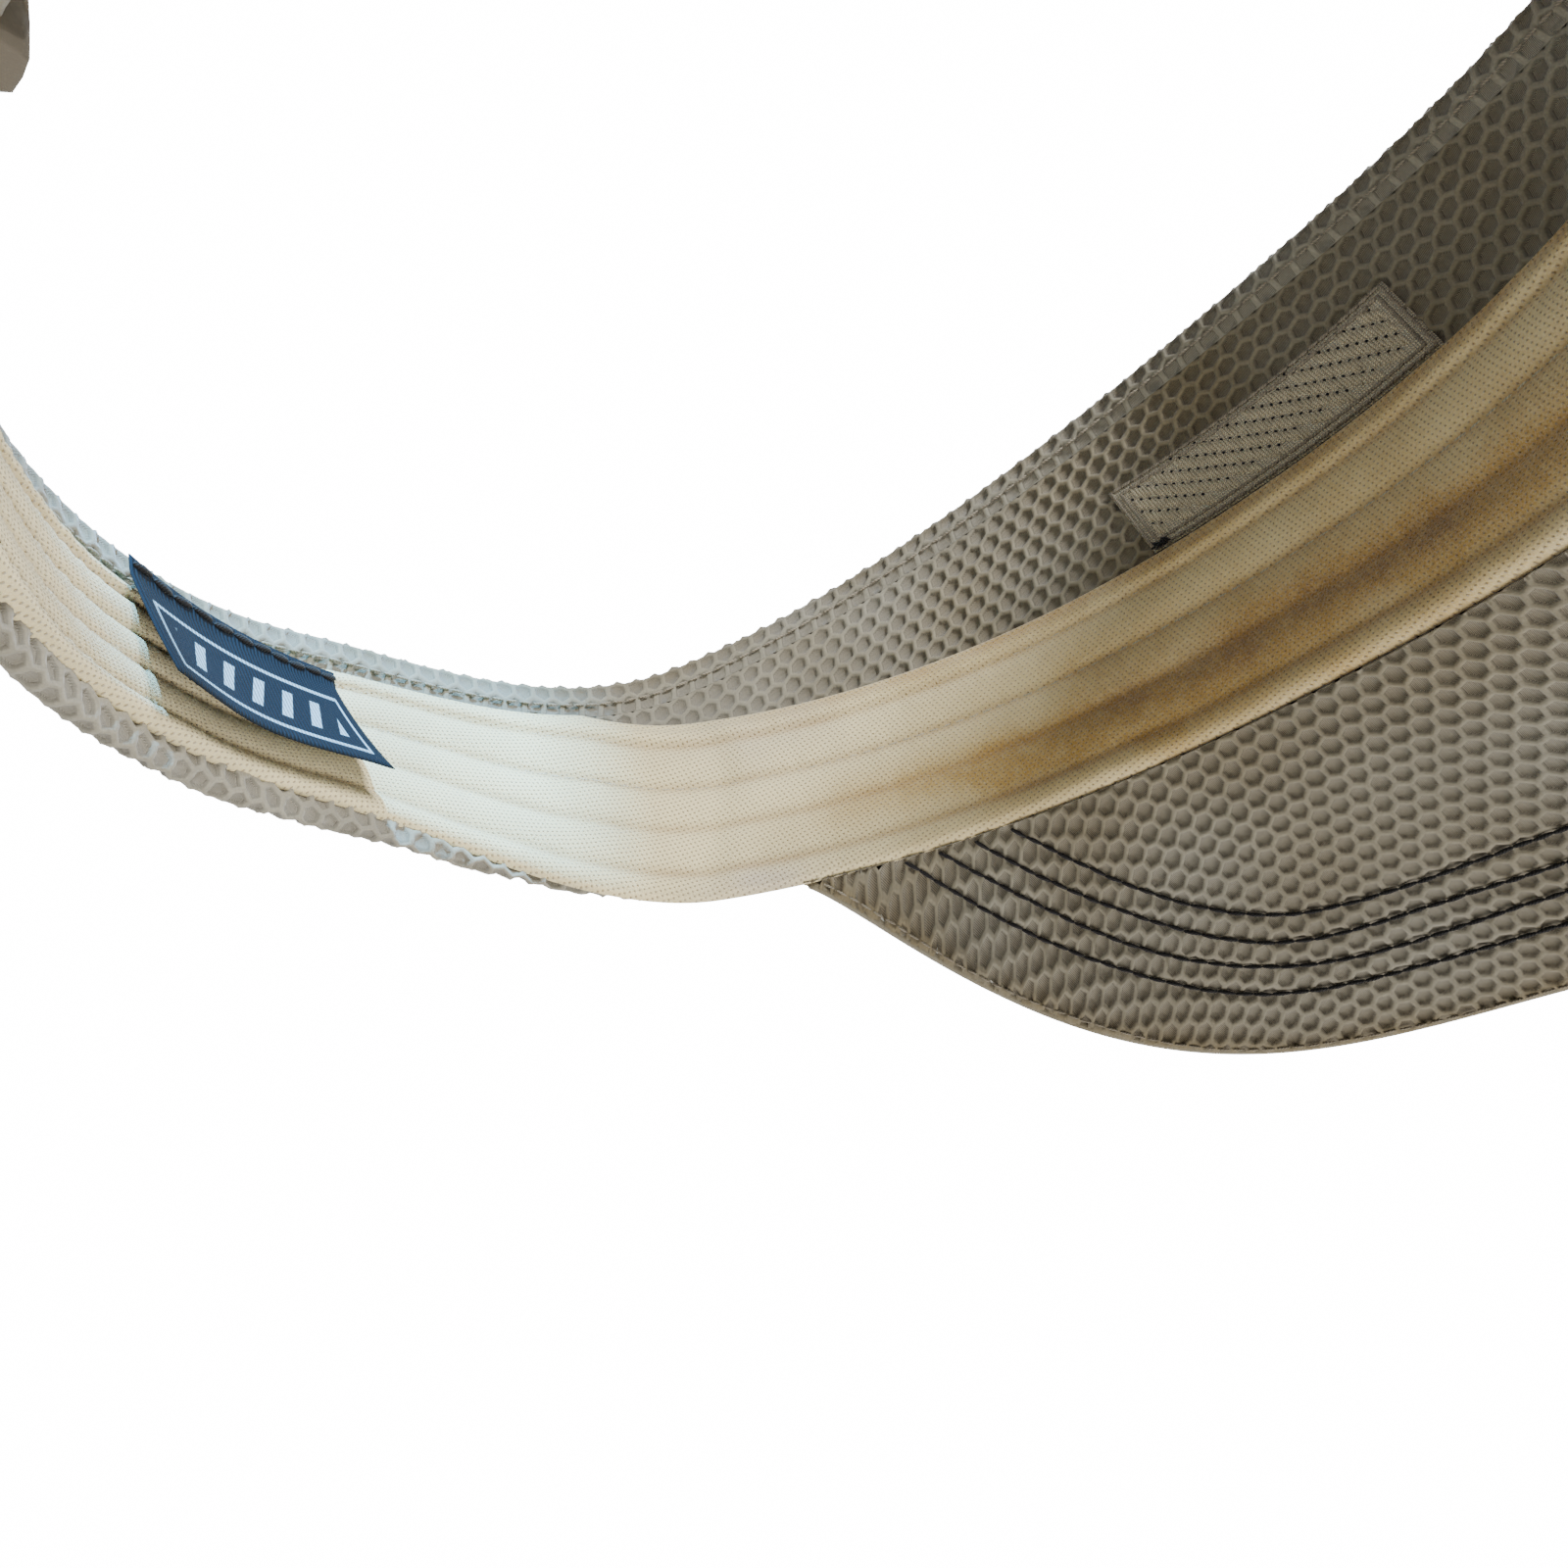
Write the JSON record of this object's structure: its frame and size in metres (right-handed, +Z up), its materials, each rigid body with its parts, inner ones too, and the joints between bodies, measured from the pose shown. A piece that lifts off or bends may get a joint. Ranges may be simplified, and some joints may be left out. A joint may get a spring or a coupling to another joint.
{
  "type": "sports sun visor",
  "caption": "Open-topped sports sun visor: honeycomb-knit band, quilted sweatband, stiff stitched peak and a hook-and-loop tab behind the head.",
  "frame": {"origin": "on the table under the middle of the visor's box, with the visor standing on its peak and on the back of its band", "axes": "+Z up, -Y forwards to the tip of the peak, +X to the wearer's left"},
  "size_m": [0.1936, 0.2414, 0.1073],
  "materials": {
    "honeycomb_knit": "matte three-dimensional honeycomb spacer knit, taupe",
    "hem_knit": "matte folded edge of the same knit and its matching thread",
    "sweatband_knit": "brushed cream knit, worn and stained golden at the front",
    "cream_thread": "cream polyester sewing and embroidery thread",
    "foam": "thin open-cell foam laminated in cloth",
    "board": "flexible polyethylene peak stiffener",
    "black_thread": "black polyester sewing thread",
    "label_weave": "navy woven label tape",
    "strap": "taupe knit strap",
    "hook_and_loop": "taupe hook-and-loop tape"
  },
  "bodies": {
    "root": {"outer_band": "honeycomb_knit", "top_hem": "hem_knit", "top_hem_stitch": "hem_knit", "arm_hem_left": "hem_knit", "arm_hem_right": "hem_knit", "sweatband_foam": "foam", "sweatband_face": "sweatband_knit", "sweatband_seam_1": "cream_thread", "sweatband_seam_2": "cream_thread", "sweatband_seam_3": "cream_thread", "sweatband_seam_4": "cream_thread", "emblem": "cream_thread", "emblem_backing": "cream_thread", "peak_board": "board", "peak_top_cover": "honeycomb_knit", "peak_under_cover": "honeycomb_knit", "peak_edge_stitch": "hem_knit", "peak_row_1": "black_thread", "peak_row_2": "black_thread", "peak_row_3": "black_thread", "peak_row_4": "black_thread", "tab_root": "strap", "loop_patch": "hook_and_loop", "tab_tack_1": "black_thread", "tab_tack_2": "black_thread", "label_hem": "label_weave", "label_stitch": "black_thread", "end_binding_left": "hem_knit", "end_binding_right": "hem_knit"},
    "closure": {"closure_tab": "strap", "hook_patch": "hook_and_loop"},
    "label": {"label_flap": "label_weave"}
  },
  "joints": [
    {"name": "closure_peel", "type": "hinge", "parent": "root", "child": "closure", "pos_m": [-0.02305, 0.11338, 0.0121], "axis": [-0.0131, 0.3196, 0.9475], "range_deg": [0, 120]},
    {"name": "label_lift", "type": "hinge", "parent": "root", "child": "label", "pos_m": [0.06992, 0.0758, 0.03038], "axis": [-0.6145, 0.7608, -0.2086], "range_deg": [0, 90]}
  ]
}
